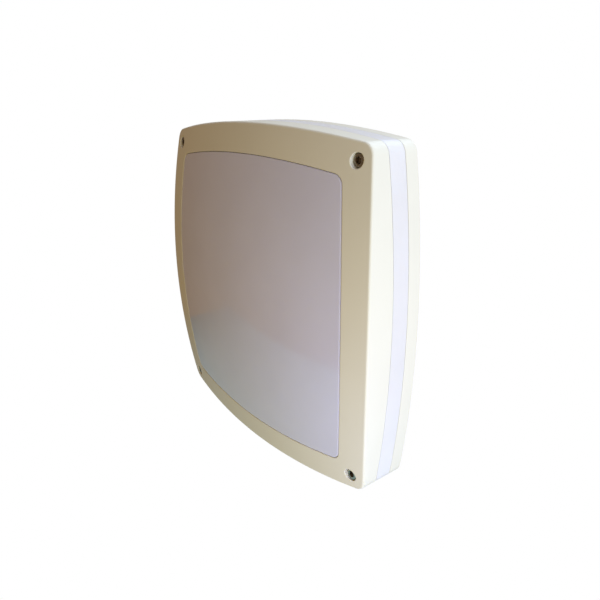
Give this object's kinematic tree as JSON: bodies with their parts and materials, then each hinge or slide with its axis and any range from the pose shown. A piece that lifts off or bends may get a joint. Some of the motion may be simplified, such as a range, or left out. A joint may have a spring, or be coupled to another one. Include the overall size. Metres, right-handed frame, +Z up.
{
  "type": "square bulkhead luminaire",
  "caption": "Square surface-mounted bulkhead light with a domed opal diffuser, a glowing side band and a screwed front bezel over LED gear in a cast housing.",
  "frame": {"origin": "centre of the wall face, which is also the centre of the wall screw pattern", "axes": "+Y into the wall, so the domed front faces -Y; +X to the right seen from the front; +Z up"},
  "size_m": [0.3, 0.0695, 0.3],
  "materials": {
    "housing_paint": "satin",
    "bezel_paint": "satin",
    "opal": "gloss",
    "silicone": "matte",
    "black_rubber": "matte",
    "nylon": "satin",
    "zinc_steel": "satin",
    "screw_steel": "polished",
    "brass": "satin",
    "tinned_copper": "satin",
    "white_steel": "satin",
    "green_board": "satin",
    "transformer_tape": "satin",
    "capacitor_sleeve": "gloss",
    "dark_plastic": "satin",
    "white_board": "satin",
    "led_phosphor": "satin",
    "brown_pvc": "satin",
    "blue_pvc": "satin",
    "green_pvc": "satin",
    "red_pvc": "satin",
    "black_pvc": "satin"
  },
  "bodies": {
    "base": {"rear_housing": "housing_paint", "perimeter_gasket": "silicone", "wall_screw_seals": "black_rubber", "cable_grommet": "black_rubber", "cable_clamp": "nylon", "cable_clamp_screws": "zinc_steel", "terminal_block": "nylon", "terminal_bars": "brass", "terminal_screws": "zinc_steel", "earth_lug": "tinned_copper", "earth_screw": "brass", "driver_case": "white_steel", "driver_cover": "white_steel", "driver_board": "green_board", "driver_transformer": "transformer_tape", "driver_capacitors": "capacitor_sleeve", "driver_small_parts": "dark_plastic", "driver_screws": "zinc_steel", "gear_tray": "white_steel", "tray_screws": "zinc_steel", "tray_grommet": "black_rubber", "led_board": "white_board", "led_chips": "led_phosphor", "led_board_screws": "zinc_steel", "led_connector": "nylon", "wire_live": "brown_pvc", "wire_neutral": "blue_pvc", "wire_earth": "green_pvc", "wire_led_plus": "red_pvc", "wire_led_minus": "black_pvc"},
    "cover": {"diffuser": "opal", "front_bezel": "bezel_paint", "screw_seal_1": "silicone", "screw_seal_2": "silicone", "screw_seal_3": "silicone", "screw_seal_4": "silicone"},
    "screw_1": {"bezel_screw_1": "screw_steel"},
    "screw_2": {"bezel_screw_2": "screw_steel"},
    "screw_3": {"bezel_screw_3": "screw_steel"},
    "screw_4": {"bezel_screw_4": "screw_steel"}
  },
  "joints": [
    {"name": "cover_lift", "type": "slide", "parent": "base", "child": "cover", "axis": [0, -1, 0], "range_m": [0, 0.12]},
    {"name": "screw_1_turn", "type": "hinge", "parent": "cover", "child": "screw_1", "pos_m": [0.127, -0.04, 0.127], "axis": [0, -1, 0], "continuous": true},
    {"name": "screw_2_turn", "type": "hinge", "parent": "cover", "child": "screw_2", "pos_m": [-0.127, -0.04, 0.127], "axis": [0, -1, 0], "continuous": true},
    {"name": "screw_3_turn", "type": "hinge", "parent": "cover", "child": "screw_3", "pos_m": [-0.127, -0.04, -0.127], "axis": [0, -1, 0], "continuous": true},
    {"name": "screw_4_turn", "type": "hinge", "parent": "cover", "child": "screw_4", "pos_m": [0.127, -0.04, -0.127], "axis": [0, -1, 0], "continuous": true}
  ]
}
